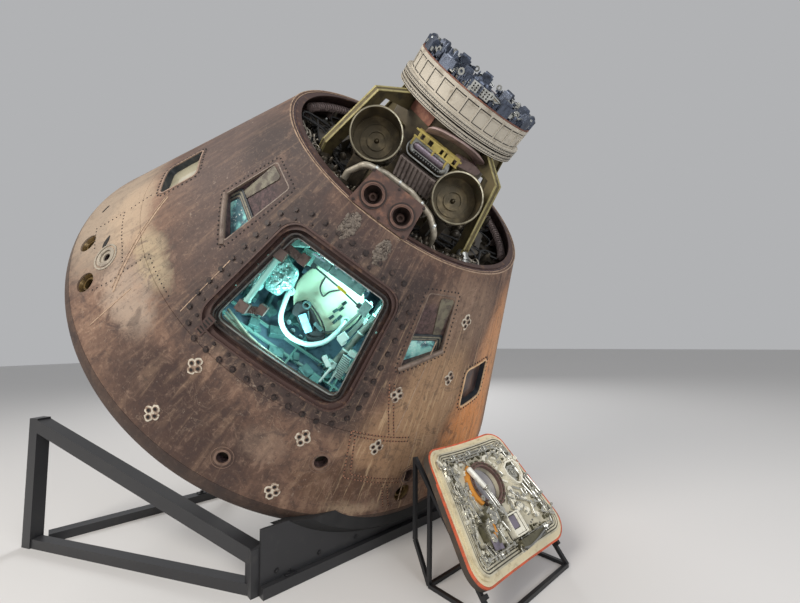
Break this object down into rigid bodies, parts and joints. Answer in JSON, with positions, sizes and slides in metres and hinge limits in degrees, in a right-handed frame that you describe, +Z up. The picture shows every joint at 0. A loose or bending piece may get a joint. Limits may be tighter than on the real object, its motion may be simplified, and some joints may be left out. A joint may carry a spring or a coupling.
{
  "type": "space capsule",
  "caption": "Blunt cone-shaped crew capsule tipped on a low display cradle, open docking end and hatch opening, with its hatch cover on a small easel.",
  "frame": {"origin": "on the floor, midway between the four anchor holes of the cradle's beams", "axes": "+Z up, +X to the side where the capsule's narrow end leans, +Y to the left of one who looks along +X"},
  "size_m": [3.3542, 4.176, 3.4769],
  "materials": {
    "ablator": "scorched, mottled resin coating on a metal shell",
    "shield": "charred resin coating",
    "hatch_seal": "scorched metal with a bolted edge",
    "glass": "dark coated glass",
    "gold_metal": "faded yellow-green finish on aluminium",
    "ring_metal": "cream paint, stained",
    "dark_metal": "sooty dark finish",
    "red_metal": "red-brown insulation",
    "bare_metal": "dull bare aluminium",
    "fabric": "grey quilted pack",
    "cabin_paint": "grey-green paint",
    "couch_metal": "grey frame",
    "seal": "black rubber",
    "brown_paint": "brown paint",
    "black_frame": "satin charcoal paint"
  },
  "bodies": {
    "exhibit": {"crew_shell": "ablator", "skirt": "ablator", "aft_shield": "shield", "port_liners": "dark_metal", "hatch_frame": "hatch_seal", "pane_side_left": "glass", "pane_side_right": "glass", "pane_forward_left": "glass", "pane_forward_right": "glass", "forward_deck": "gold_metal", "tunnel": "gold_metal", "rim_ring": "dark_metal", "docking_flange": "ring_metal", "docking_drum": "ring_metal", "docking_latches": "bare_metal", "gusset_1": "gold_metal", "gusset_2": "gold_metal", "gusset_3": "gold_metal", "gusset_4": "gold_metal", "mortar_left": "dark_metal", "mortar_right": "dark_metal", "mortar_stand_left": "dark_metal", "mortar_stand_right": "dark_metal", "pitch_engines": "red_metal", "bay_pipe": "bare_metal", "float_casing": "bare_metal", "bay_pack": "fabric", "bay_equipment": "dark_metal", "cabin_floor": "cabin_paint", "couch_left": "couch_metal", "couch_centre": "couch_metal", "couch_right": "couch_metal", "main_panel": "cabin_paint", "hatch_hinge": "bare_metal", "easel": "black_frame", "cradle_front_beam": "black_frame", "cradle_rear_beam": "black_frame", "cradle_side_left": "black_frame", "cradle_side_right": "black_frame", "front_saddle": "seal", "front_plate": "black_frame", "rear_saddle": "black_frame"},
    "hatch_cover": {"cover_shell": "ablator", "cover_inner": "cabin_paint", "cover_gasket": "seal", "cover_pane": "glass", "cover_gearbox": "bare_metal", "cover_crank": "bare_metal", "cover_case": "bare_metal", "cover_guard": "bare_metal", "cover_latches": "bare_metal", "cover_bezel": "brown_paint", "cover_spring_rod": "bare_metal"}
  },
  "joints": [
    {"name": "hatch_lift", "type": "slide", "parent": "exhibit", "child": "hatch_cover", "axis": [0, 0, 1], "range_m": [0, 0.25]}
  ]
}
